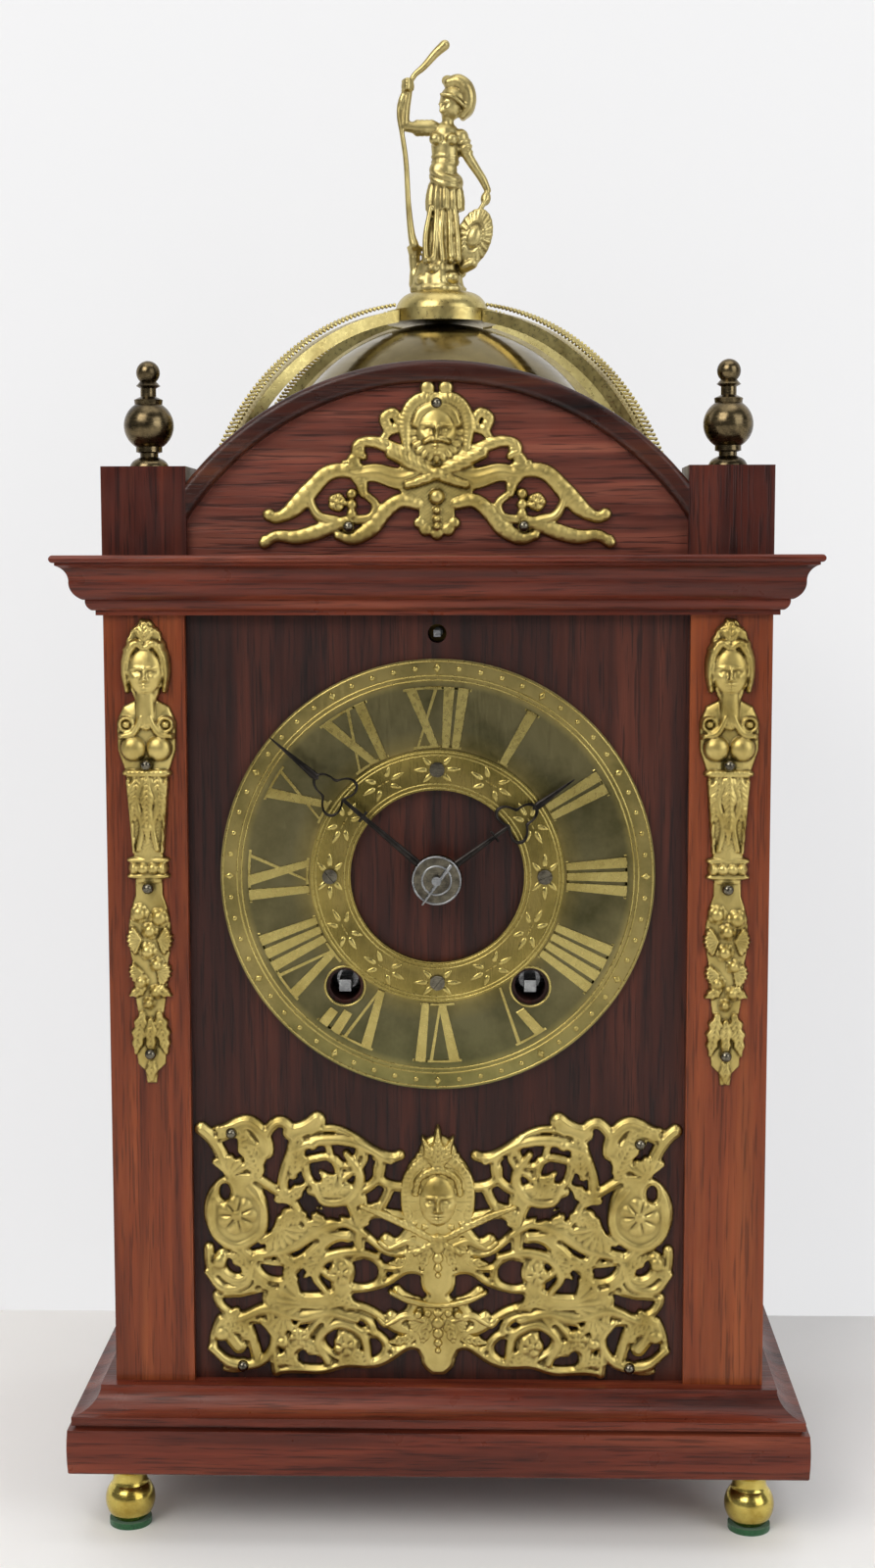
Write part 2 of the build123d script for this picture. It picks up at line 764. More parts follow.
def hand(angle, length, trefoil, tail, hub, bore, y_front, y_back):
    """One hand in the active part, pointing up at angle 0 and clockwise from there."""
    lobes = trefoil - trefoil_ring * 0.55
    outward = [(lobes, -trefoil_ring), (lobes, trefoil_ring)]
    rings = outward + [(trefoil + trefoil_ring, 0)]
    pointing = polar(1, 90 - angle)
    plane = Plane(origin=(0, y_back, dial_height), x_dir=(pointing[0], 0, pointing[1]), z_dir=(0, -1, 0))
    with BuildSketch(plane) as outline:
        Circle(hub)
        Polygon(
            (0, -blade_width / 2), (length, -tip_width / 2), (length, tip_width / 2), (0, blade_width / 2),
            align=None,
        )
        with Locations(rings):
            Circle(trefoil_ring)
        with Locations((trefoil - 2.6 * trefoil_ring, 0), (trefoil + 2.6 * trefoil_ring, 0)):
            Rectangle(tip_width, cross_bar * 0.6)
        with Locations((-tail / 2, 0)):
            Rectangle(tail, blade_width)
        with Locations(rings):
            Circle(trefoil_hole, mode=Mode.SUBTRACT)
        Circle(bore, mode=Mode.SUBTRACT)
    extrude(outline.sketch, amount=y_back - y_front)


with BuildPart() as minute_hand:
    minute_trefoil = minute_hand_length * 0.62
    hand(
        minute_hand_angle, minute_hand_length, minute_trefoil, hand_hub_radius,
        hand_hub_radius * 0.7, arbor_radius + running, minute_hand_front, minute_hand_back,
    )
save(minute_hand, "minute_hand")

taper_pin_radius = 0.7

with BuildPart() as hand_collet:
    with BuildSketch(dial_plane(0, 0, minute_hand_front)) as collet:
        Circle(hand_hub_radius)
    extrude(collet.sketch, amount=collet_height, taper=25)
    disc(0, 0, minute_hand_front - collet_height, minute_hand_front, arbor_radius + running, Mode.SUBTRACT)
save(hand_collet, "hand_collet")

with BuildPart() as hour_hand:
    hour_trefoil = hour_hand_length * 0.56
    hour_bore = cannon_radius + running + 0.5
    hand(
        hour_hand_angle, hour_hand_length, hour_trefoil, hand_hub_radius * 1.4,
        hand_hub_radius * 0.8, hour_bore, hour_hand_front, hour_hand_back,
    )
save(hour_hand, "hour_hand")

with BuildPart() as third_wheel:
    arbor(third_place, thin_arbor_radius)
    to_centre = direction(third_place, centre_place)
    to_escape = direction(third_place, escape_place)
    wheel(third_place, third_depth, third_teeth, third_module, to_escape)
    third_phase = gap_phase(third_pinion_leaves, to_centre)
    pinion(third_place, centre_wheel_depth, third_pinion_leaves, centre_module, third_phase)
save(third_wheel, "third_wheel")

with BuildPart() as escape_wheel:
    arbor(escape_place, thin_arbor_radius)
    escape_back = at_depth(escape_depth) + wheel_thickness
    root = escape_radius * 0.84
    step = 360 / escape_teeth
    hooked = []
    for tooth in range(escape_teeth):
        hooked.append(polar(root, step * tooth))
        hooked.append(polar(escape_radius, step * (tooth + 0.45)))
        hooked.append(polar(escape_radius, step * (tooth + 0.50)))
        hooked.append(polar(root, step * (tooth + 0.52)))
    with BuildSketch(dial_plane(*escape_place, escape_back)) as escape_rim:
        with BuildLine():
            Polyline(*hooked, close=True)
        make_face()
    extrude(escape_rim.sketch, amount=wheel_thickness)
    crossings(escape_place, at_depth(escape_depth), escape_back, root * 0.24, root * 0.88, 5)
    to_third = direction(escape_place, third_place)
    escape_phase = gap_phase(escape_pinion_leaves, to_third)
    pinion(escape_place, third_depth, escape_pinion_leaves, third_module, escape_phase)
save(escape_wheel, "escape_wheel")

# Anchor, crutch, suspension and pendulum

rod_radius = 1.2
rod_y = back_plate_back + 9.0
crutch_front = back_plate_back + 0.6
crutch_thickness = 1.6
crutch_drop = 36.0
fork_gap = 0.4
fork_width = 1.4
fork_height = 3.0
pallet_clearance = 1.3
anchor_width = 2.6
pallet_face = 1.8

with BuildPart() as anchor:
    disc(*anchor_place, front_plate_front + end_shake, front_plate_back + end_shake, pivot_radius)
    disc(*anchor_place, front_plate_back + end_shake, crutch_front + crutch_thickness, arbor_radius)
    disc(*anchor_place, crutch_front, crutch_front + crutch_thickness, 3.2)
    pallet_back = at_depth(escape_depth) + wheel_thickness
    reach = escape_radius + pallet_clearance
    for side in (-1, 1):
        pallet = towards(escape_place, reach, 90 + side * pallet_span)
        outer = towards(escape_place, reach + pallet_face * 1.6, 90 + side * pallet_span)
        with BuildSketch(dial_plane(0, 0, pallet_back)) as arm:
            Polygon(*bar_points(anchor_place, outer, anchor_width, pallet_face), align=None)
            Polygon(*bar_points(outer, pallet, pallet_face, pallet_face * 0.6), align=None)
            with Locations(outer):
                Circle(pallet_face * 0.6)
        extrude(arm.sketch, amount=wheel_thickness)
    disc(*anchor_place, at_depth(escape_depth), pallet_back, anchor_width)
    crutch_foot = anchor_place[1] - crutch_drop + dial_height
    fork_inner = rod_radius + fork_gap
    block(
        -fork_inner - fork_width, fork_inner + fork_width, crutch_front, crutch_front + crutch_thickness,
        crutch_foot, anchor_place[1] + dial_height,
    )
    for side in (-1, 1):
        near, far = sorted((side * fork_inner, side * (fork_inner + fork_width)))
        block(near, far, crutch_front, rod_y + rod_radius + 0.8, crutch_foot, crutch_foot + fork_height)
save(anchor, "anchor")

rack_module = 0.5
rack_leaves = 10
rack_front = back_plate_back + 2.5
rack_back = rack_front + 3.0
rack_root_x = rack_module * (rack_leaves / 2 + 1.25)
rack_right = rack_root_x + 3.7
rack_pitch = math.pi * rack_module
rack_top = regulator_rise + 3.6
block_low = anchor_place[1] + 2.4
block_high = block_low + 4.0
block_half_width = 3.6
slide_gap = 0.15
suspension_slot = 0.8
guide_low = block_high + 2.6
guide_high = guide_low + 11.0

with BuildPart() as rise_rack:
    block(rack_root_x, rack_right, rack_front, rack_back, block_low + dial_height, rack_top + dial_height)
    block(
        -block_half_width, rack_right, rack_front, rod_y + 2.0,
        block_low + dial_height, block_high + dial_height,
    )
    for count in (-2, -1, 0, 1, 2):
        with BuildSketch(dial_plane(0, regulator_rise + count * rack_pitch, rack_back)) as rack_tooth:
            Polygon(
                (rack_root_x + 0.1, -0.24 * rack_pitch),
                (rack_module * (rack_leaves / 2 - 0.6), -0.10 * rack_pitch),
                (rack_module * (rack_leaves / 2 - 0.6), 0.10 * rack_pitch),
                (rack_root_x + 0.1, 0.24 * rack_pitch),
                align=None,
            )
        extrude(rack_tooth.sketch, amount=rack_back - rack_front)
    block(
        -suspension_slot, suspension_slot, rod_y - 2.5, rod_y + 2.1,
        block_low + dial_height - 1, block_high + dial_height + 1, Mode.SUBTRACT,
    )
save(rise_rack, "rise_rack")

with BuildPart() as regulator_arbor:
    disc(*regulator_place, board_back - 1.0, rack_back, arbor_radius)
    with BuildSketch(dial_plane(*regulator_place, board_back - 1.0)) as small_square:
        Rectangle(2.2, 2.2)
    extrude(small_square.sketch, amount=board_back - 1.0 - board_front - 0.6)
    drive_plane = dial_plane(*regulator_place, rack_back)
    drive = pinion_outline(drive_plane, rack_leaves, rack_module, 180 / rack_leaves)
    extrude(drive, amount=rack_back - rack_front)
    disc(*regulator_place, front_plate_back, front_plate_back + 1.5, 3.0)
save(regulator_arbor, "regulator_arbor")

with BuildPart() as suspension_cock:
    guide_z_low = guide_low + dial_height
    guide_z_high = guide_high + dial_height
    block(-18.0, 18.0, back_plate_back, rack_front - slide_gap, 58.5 + dial_height, guide_z_high)
    block(rack_root_x - 1.4, rack_right + 2.4, back_plate_back, rack_back + 2.2, guide_z_low, guide_z_high)
    block(
        rack_root_x - slide_gap, rack_right + slide_gap, rack_front - slide_gap, rack_back + slide_gap,
        58.0 + dial_height, guide_z_high + 1, Mode.SUBTRACT,
    )
    disc(*anchor_place, back_plate_back, rack_front, 4.2, Mode.SUBTRACT)
    for place in cock_screw_places:
        disc(*place, back_plate_back, rack_front, screw_radius + running, Mode.SUBTRACT)
save(suspension_cock, "suspension_cock")

# Strike train: barrel, pin wheel, warning wheel, fly and hammer

with BuildPart() as strike_barrel:
    barrel(strike_place, direction(strike_place, pin_wheel_place))
save(strike_barrel, "strike_barrel")

with BuildPart() as strike_mainspring:
    mainspring(strike_place)
save(strike_mainspring, "strike_mainspring")

with BuildPart() as strike_winding_arbor:
    winding_arbor(strike_place, -1)
save(strike_winding_arbor, "strike_winding_arbor")

with BuildPart() as strike_click:
    click(strike_click_place, strike_place)
save(strike_click, "strike_click")

pin_back = at_depth(intermediate_depth) + wheel_thickness + 3.0

with BuildPart() as pin_wheel:
    arbor(pin_wheel_place)
    to_great = direction(pin_wheel_place, strike_place)
    to_warning = direction(pin_wheel_place, warning_place)
    wheel(pin_wheel_place, intermediate_depth, pin_wheel_teeth, strike_module, to_warning)
    pinion(pin_wheel_place, great_depth, pinion_leaves, great_module, gap_phase(pinion_leaves, to_great))
    with BuildSketch(dial_plane(*pin_wheel_place, pin_back)) as lifting_pins:
        with PolarLocations(strike_pin_circle, strike_pins):
            Circle(strike_pin_radius)
    extrude(lifting_pins.sketch, amount=pin_back - at_depth(intermediate_depth))
save(pin_wheel, "pin_wheel")

with BuildPart() as warning_wheel:
    arbor(warning_place)
    to_pins = direction(warning_place, pin_wheel_place)
    to_fly = direction(warning_place, fly_place)
    wheel(warning_place, warning_depth, warning_teeth, strike_module, to_fly)
    warning_phase = gap_phase(warning_pinion_leaves, to_pins)
    pinion(warning_place, intermediate_depth, warning_pinion_leaves, strike_module, warning_phase)
save(warning_wheel, "warning_wheel")

fly_blade = 9.0
fly_length = 12.0
fly_shift = 7.0

with BuildPart() as fly:
    arbor(fly_place, thin_arbor_radius)
    to_warning = direction(fly_place, warning_place)
    fly_phase = gap_phase(fly_pinion_leaves, to_warning)
    pinion(fly_place, warning_depth, fly_pinion_leaves, strike_module, fly_phase)
    fan_front = at_depth(fly_depth) - fly_shift
    with BuildSketch(dial_plane(*fly_place, fan_front + fly_length)) as fan:
        Rectangle(2 * fly_blade, 0.6)
        Circle(arbor_radius + 0.8)
    extrude(fan.sketch, amount=fly_length)
save(fly, "fly")

hammer_lift = 8.0
hammer_head_radius = 3.0
hammer_arm = 3.0
hammer_rise = cornice_top + 10.0 - dial_height
hammer_y_front = at_depth(intermediate_depth) + wheel_thickness
hammer_y_back = hammer_y_front + hammer_arm
hammer_y = (hammer_y_front + hammer_y_back) / 2
hammer_gap = 0.7
bell_skirt = 4.0
bell_inner = bell_radius - bell_wall
hammer_face = -(math.sqrt(bell_inner**2 - (abs(hammer_y - crown_y) + hammer_head_radius) ** 2) - hammer_gap)
hammer_head_length = 9.0
hammer_arm_top = hammer_face + hammer_head_length * 0.6

with BuildPart() as hammer:
    arbor(hammer_place)
    tail = math.dist(hammer_place, pin_wheel_place) - strike_pin_circle - strike_pin_radius - 1.0
    tail_tip = towards(hammer_place, tail, direction(hammer_place, pin_wheel_place))
    with BuildSketch(dial_plane(0, 0, hammer_y_back)) as lever:
        Polygon(*bar_points(hammer_place, tail_tip, hammer_arm * 1.4, 1.2), align=None)
        Polygon(*bar_points(hammer_place, (hammer_arm_top, hammer_rise), hammer_arm, hammer_arm), align=None)
        with Locations(hammer_place):
            Circle(arbor_radius + 1.5)
    extrude(lever.sketch, amount=hammer_arm)
    head_plane = Plane(
        origin=(hammer_face, hammer_y, hammer_rise + dial_height), x_dir=(0, 1, 0), z_dir=(1, 0, 0)
    )
    with BuildSketch(head_plane) as head:
        Circle(hammer_head_radius)
    extrude(head.sketch, amount=hammer_head_length)
save(hammer, "hammer")

# Front board with the dial, top board and back door

slot_margin = 2.0
slot_left = hammer_arm_top - hammer_arm / 2 - slot_margin
hammer_sweep = hammer_rise * math.sin(math.radians(hammer_lift))
slot_right = hammer_arm_top + hammer_arm / 2 + hammer_sweep + slot_margin

with BuildPart() as top_board:
    block(-half_width, half_width, body_front, body_back, body_top, cornice_top)
    block(
        slot_left, slot_right, hammer_y_front - slot_margin, hammer_y_back + slot_margin,
        body_top - 1, cornice_top + 1, Mode.SUBTRACT,
    )
    cage_screw_holes(cornice_top - mount_shank_length, cornice_top)
save(top_board, "top_board")

door_thickness = 7.0
door_gap = 0.4
door_half_width = 72.0
door_low = plinth_top + 16.0
door_high = body_top - 16.0
door_recess = 5.0
door_back = body_back - door_recess
door_front = door_back - door_thickness
hinge_y = door_back - door_thickness / 2
hinge_x = door_half_width - door_gap - door_thickness / 2
hinge_pin_radius = 1.5
hinge_pin_bite = 8.0
button_inset = 12.0
button_radius = 2.0
knob_radius = 5.0

with BuildPart() as back_frame:
    block(-side_inner, side_inner, back_front, body_back, plinth_top, body_top)
    block(
        -door_half_width, door_half_width, back_front - 1, body_back + 1, door_low, door_high, Mode.SUBTRACT
    )
    with BuildSketch(Plane.XY.offset(door_low - hinge_pin_bite)) as hinge_sockets:
        with Locations((hinge_x, hinge_y)):
            Circle(hinge_pin_radius + running)
    extrude(hinge_sockets.sketch, amount=door_high - door_low + 2 * hinge_pin_bite, mode=Mode.SUBTRACT)
save(back_frame, "back_frame")

button_x = -door_half_width + button_inset
button_z = (door_low + door_high) / 2

with BuildPart() as back_door:
    door_left = -door_half_width + door_gap
    block(door_left, hinge_x, door_front, door_back, door_low + door_gap, door_high - door_gap)
    with BuildSketch(Plane.XY.offset(door_low + door_gap)) as rounded_edge:
        with Locations((hinge_x, hinge_y)):
            Circle(door_thickness / 2)
    extrude(rounded_edge.sketch, amount=door_high - door_low - 2 * door_gap)
    with BuildSketch(Plane.XY.offset(door_low)) as pin_holes:
        with Locations((hinge_x, hinge_y)):
            Circle(hinge_pin_radius + running)
    extrude(pin_holes.sketch, amount=hinge_pin_bite, mode=Mode.SUBTRACT)
    extrude(pin_holes.sketch.moved(Location((0, 0, door_high - door_low - hinge_pin_bite))),
            amount=hinge_pin_bite, mode=Mode.SUBTRACT)
    with BuildSketch(front_plane(button_x, button_z, door_back)) as button_hole:
        Circle(button_radius + running)
    extrude(button_hole.sketch, amount=door_thickness, mode=Mode.SUBTRACT)
save(back_door, "back_door")

with BuildPart() as door_hinges:
    with BuildSketch(Plane.XY.offset(door_low - hinge_pin_bite)) as pin:
        with Locations((hinge_x, hinge_y)):
            Circle(hinge_pin_radius)
    pin_length = 2 * hinge_pin_bite - 0.5
    extrude(pin.sketch, amount=pin_length)
    upper_pin = pin.sketch.moved(Location((0, 0, door_high - door_low + 0.5)))
    extrude(upper_pin, amount=pin_length)
save(door_hinges, "door_hinges")

tongue_length = 20.0
tongue_width = 7.0
tongue_thickness = 2.0

with BuildPart() as door_button:
    tongue_back = back_front - free_gap
    with BuildSketch(front_plane(button_x, button_z, door_back + 4.0)) as stem:
        Circle(button_radius)
    extrude(stem.sketch, amount=door_back + 4.0 - tongue_back + tongue_thickness)
    with BuildSketch(front_plane(button_x, button_z, door_back + 4.0)) as knob:
        Circle(knob_radius)
    extrude(knob.sketch, amount=4.0 - free_gap)
    with BuildSketch(front_plane(button_x, button_z, tongue_back)) as tongue:
        with Locations((0, tongue_length / 2 - tongue_width / 2)):
            SlotOverall(tongue_length, tongue_width, rotation=90)
    extrude(tongue.sketch, amount=tongue_thickness)
save(door_button, "door_button")

dial_screw_circle = 34.6
dial_screw_radius = 2.4
dial_screw_height = 1.2
dial_shank_radius = 1.1
dial_shank_length = 8.0
dial_screw_places = [polar(dial_screw_circle, 90 * turn) for turn in range(4)]
winding_places = [going_place, strike_place]
chapter_front = board_front - chapter_thickness
inner_front = board_front - inner_ring_thickness

with BuildPart() as chapter_ring:
    disc(0, 0, chapter_front, board_front, dial_radius)
    disc(0, 0, chapter_front, board_front, dial_band_radius + seat_gap, Mode.SUBTRACT)
    for place in winding_places:
        disc(*place, chapter_front, board_front, winding_hole_radius, Mode.SUBTRACT)
save(chapter_ring, "chapter_ring")

with BuildPart() as dial_inner_ring:
    disc(0, 0, inner_front, board_front, dial_band_radius)
    disc(0, 0, inner_front, board_front, dial_opening_radius, Mode.SUBTRACT)
    for place in winding_places:
        disc(*place, inner_front, board_front, winding_hole_radius, Mode.SUBTRACT)
    for place in dial_screw_places:
        disc(*place, inner_front, board_front, dial_shank_radius + running, Mode.SUBTRACT)
save(dial_inner_ring, "dial_inner_ring")

with BuildPart() as dial_screws:
    head_front = inner_front - dial_screw_height
    for place in dial_screw_places:
        disc(*place, head_front, inner_front, dial_screw_radius)
        disc(*place, inner_front, board_front + dial_shank_length - free_gap, dial_shank_radius)
    for place, turn in zip(dial_screw_places, (20, 75, 130, 50)):
        with BuildSketch(dial_plane(*place, head_front + dial_screw_height / 2)) as slot:
            Rectangle(2 * dial_screw_radius + 1, screw_slot, rotation=turn)
        extrude(slot.sketch, amount=dial_screw_height, mode=Mode.SUBTRACT)
save(dial_screws, "dial_screws")

# Posts, finials and the arched pediment

post_inner = half_width - post_width
post_top = cornice_top + post_height
post_back = body_front + post_width
post_y = body_front + post_width / 2
post_x = half_width - post_width / 2

with BuildPart() as corner_posts:
    block(post_inner, half_width, body_front, post_back, cornice_top, post_top)
    mirror(about=Plane.YZ)
save(corner_posts, "corner_posts")

finial_base = 6.3
finial_neck = 2.9
finial_ball = 8.0
finial_ball_height = 13.4
finial_upper_neck = 2.5
finial_knob = 3.8
finial_knob_height = 30.2

with BuildPart() as post_finials:
    with BuildSketch(Plane.XZ.offset(-post_y).shift_origin((0, post_y, post_top))) as finial_profile:
        with BuildLine():
            ball_foot = (4.2, finial_ball_height - math.sqrt(finial_ball**2 - 4.2**2))
            ball_top = (4.4, finial_ball_height + math.sqrt(finial_ball**2 - 4.4**2))
            knob_foot = (2.6, finial_knob_height - math.sqrt(finial_knob**2 - 2.6**2))
            knob_top = (0, finial_knob_height + finial_knob)
            Line((0, 0), (finial_base, 0))
            ThreePointArc((finial_base, 0), (5.4, 1.9), (finial_neck + 1.2, 2.8))
            Line((finial_neck + 1.2, 2.8), (finial_neck, 3.4))
            Line((finial_neck, 3.4), (finial_neck, 4.6))
            Line((finial_neck, 4.6), (4.2, 5.0))
            Line((4.2, 5.0), ball_foot)
            ThreePointArc(ball_foot, (finial_ball, finial_ball_height), ball_top)
            Line(ball_top, (4.6, 21.6))
            Line((4.6, 21.6), (finial_upper_neck, 22.6))
            Line((finial_upper_neck, 22.6), (finial_upper_neck, 25.2))
            Line((finial_upper_neck, 25.2), (3.9, 26.0))
            Line((3.9, 26.0), knob_foot)
            ThreePointArc(knob_foot, (finial_knob, finial_knob_height), knob_top)
            Line(knob_top, (0, 0))
        make_face()
    finial_axis = Axis((0, post_y, 0), (0, 0, 1))
    finial = revolve(finial_profile.sketch, axis=finial_axis, mode=Mode.PRIVATE)
    with Locations((post_x, 0, 0), (-post_x, 0, 0)):
        add(finial)
save(post_finials, "post_finials")

panel_front = body_front + board_recess
moulding_front = body_front - 0.8
panel_back = panel_front + arch_panel_thickness
arch_inner = arch_radius - arch_moulding_width


def arch_outline(outer, inner, y_back):
    """The part of a round arch that stands on the cornice between the posts."""
    with BuildSketch(front_plane(0, cornice_top, y_back)) as outline:
        with Locations((0, arch_rise - arch_radius)):
            Circle(outer)
            if inner > 0:
                Circle(inner, mode=Mode.SUBTRACT)
        with Locations((0, arch_rise / 2)):
            Rectangle(2 * post_inner, arch_rise, mode=Mode.INTERSECT)
    return outline.sketch


with BuildPart() as pediment_moulding:
    extrude(arch_outline(arch_radius, arch_inner, panel_back), amount=panel_back - moulding_front)
    front_face = pediment_moulding.faces().sort_by(Axis.Y)[0]
    fillet(front_face.edges().filter_by(GeomType.CIRCLE), radius=arch_moulding_width * 0.3)
save(pediment_moulding, "pediment_moulding")

# Bell, its cage of four arms, the hub and the figure

bell_screw_radius = 2.5
bell_screw_bite = 9.0
hub_dome_foot = 16.0
hub_dome_top = 10.0
hub_floor = hub_top - hub_height
figure_foot = cornice_top + hub_top + hub_dome_height
crown_axis = Axis((0, crown_y, 0), (0, 0, 1))


def crown_plane(azimuth):
    """An upright plane through the crown's axis, turned by an azimuth; local y is up."""
    turn = math.radians(azimuth)
    return Plane(
        origin=(0, crown_y, cornice_top),
        x_dir=(math.cos(turn), math.sin(turn), 0),
        z_dir=(math.sin(turn), -math.cos(turn), 0),
    )


def upright_hole(radius, z_low, z_high):
    """A hole down the crown's axis, in the active part."""
    with BuildSketch(Plane.XY.offset(z_low)) as hole:
        with Locations((0, crown_y)):
            Circle(radius)
    extrude(hole.sketch, amount=z_high - z_low, mode=Mode.SUBTRACT)


hub_corner = (hub_radius, hub_top - 0.6)
foot_corner = (cage_foot_radius, 0.0)
arm_centre = meeting_point(foot_corner, hub_corner, cage_arm_radius, cage_arm_radius, 1)
cage_pad_length = 11.0
cage_pad_width = 8.0
cage_pad_height = 2.4

with BuildPart() as cage_arms:
    for azimuth in cage_azimuths:
        with BuildSketch(crown_plane(azimuth)) as arm_outline:
            with Locations(arm_centre):
                Circle(cage_arm_radius)
                Circle(cage_arm_radius - cage_arm_thickness, mode=Mode.SUBTRACT)
            with Locations(((hub_radius + cage_foot_radius) / 2 + 1, hub_top / 2)):
                Rectangle(cage_foot_radius - hub_radius + 2, hub_top, mode=Mode.INTERSECT)
        extrude(arm_outline.sketch, amount=cage_arm_width / 2, both=True)
        with BuildSketch(crown_plane(azimuth)) as pad_side:
            with Locations((cage_foot_radius - cage_pad_length / 2, cage_pad_height / 2)):
                Rectangle(cage_pad_length, cage_pad_height)
        extrude(pad_side.sketch, amount=cage_pad_width / 2, both=True)
    upright_hole(hub_radius + seat_gap, cornice_top, figure_foot)
    cage_screw_holes(cornice_top, cornice_top + cage_pad_height)
save(cage_arms, "cage_arms")

with BuildPart() as cage_hub:
    with BuildSketch(crown_plane(0)) as hub_profile:
        with BuildLine():
            dome_foot = (hub_dome_foot, hub_top)
            dome_top = (hub_dome_top, hub_top + hub_dome_height)
            Line((0, hub_floor), (hub_radius, hub_floor))
            Line((hub_radius, hub_floor), (hub_radius, hub_top))
            Line((hub_radius, hub_top), dome_foot)
            ThreePointArc(dome_foot, (hub_dome_foot - 1.6, hub_top + hub_dome_height * 0.62), dome_top)
            Line(dome_top, (0, hub_top + hub_dome_height))
            Line((0, hub_top + hub_dome_height), (0, hub_floor))
        make_face()
    revolve(hub_profile.sketch, axis=crown_axis)
    upright_hole(bell_screw_radius + running, cornice_top, figure_foot + 1)
save(cage_hub, "cage_hub")

bell_apex = hub_floor
bell_flare = 1.6
bell_axis_height = bell_apex - bell_radius

with BuildPart() as bell:
    with BuildSketch(crown_plane(0)) as bell_profile:
        with BuildLine():
            diagonal = math.sqrt(0.5)
            outer_top = (0, bell_apex)
            outer_side = (bell_radius, bell_axis_height)
            inner_side = (bell_inner, bell_axis_height)
            inner_top = (0, bell_apex - bell_wall)
            outer_middle = (bell_radius * diagonal, bell_axis_height + bell_radius * diagonal)
            inner_middle = (bell_inner * diagonal, bell_axis_height + bell_inner * diagonal)
            ThreePointArc(outer_top, outer_middle, outer_side)
            Line(outer_side, (bell_radius + bell_flare, bell_skirt))
            Line((bell_radius + bell_flare, bell_skirt), (bell_inner + bell_flare * 0.6, bell_skirt))
            Line((bell_inner + bell_flare * 0.6, bell_skirt), inner_side)
            ThreePointArc(inner_side, inner_middle, inner_top)
            Line(inner_top, outer_top)
        make_face()
    revolve(bell_profile.sketch, axis=crown_axis)
    upright_hole(bell_screw_radius + running, cornice_top, figure_foot)
save(bell, "bell")

with BuildPart() as bell_screw:
    nut_radius = 5.0
    nut_height = 3.0
    nut_top = bell_apex - bell_wall - 0.4
    with BuildSketch(Plane.XY.offset(cornice_top + nut_top - nut_height - 2.0)) as stem:
        with Locations((0, crown_y)):
            Circle(bell_screw_radius)
    extrude(stem.sketch, amount=figure_foot + bell_screw_bite - cornice_top - nut_top + nut_height + 2.0)
    with BuildSketch(Plane.XY.offset(cornice_top + nut_top - nut_height)) as nut:
        with Locations((0, crown_y)):
            RegularPolygon(nut_radius, 6)
    extrude(nut.sketch, amount=nut_height)
save(bell_screw, "bell_screw")

# Figure: a standing guard with a bowed staff and a shield, on a rocky mound



def spot(x, y, z):
    """A point on the figure, measured from the middle of its foot."""
    return (x, crown_y + y, figure_foot + z)


def limb(points, radii):
    """A rounded tapering tube through a few points, in the active part."""
    for start, end, start_radius, end_radius in zip(points, points[1:], radii, radii[1:]):
        line = Vector(*end) - Vector(*start)
        with BuildSketch(Plane(origin=start, z_dir=line)) as thick_end:
            Circle(start_radius)
        with BuildSketch(Plane(origin=end, z_dir=line)) as thin_end:
            Circle(end_radius)
        loft([thick_end.sketch.face(), thin_end.sketch.face()])
    for point, radius in zip(points, radii):
        with Locations(point):
            Sphere(radius)


robe_sections = [
    (12.0, 0.0, 7.6, 6.2),
    (21.0, 0.8, 7.2, 6.0),
    (29.0, 1.2, 6.8, 5.7),
    (39.0, 1.2, 5.7, 4.6),
    (44.5, 1.5, 4.5, 3.6),
    (52.0, 1.8, 6.0, 4.2),
    (57.6, 1.6, 3.6, 3.0),
]
mound_radius = 9.8
mound_height = 13.5
staff_lower = [(-9.6, 0, 17.0), (-11.2, 0, 30.0), (-13.2, 0, 46.0), (-14.6, 0, 58.0), (-14.2, 0, 65.0)]
staff_upper = [(-10.8, 0, 73.5), (-4.2, 0, 78.6), (1.6, 0, 83.0)]
sleeve = [(6.0, 0, 54.0), (8.6, 0, 47.0), (11.6, 0, 42.0), (16.2, 0, 35.4), (15.2, 0, 31.0)]

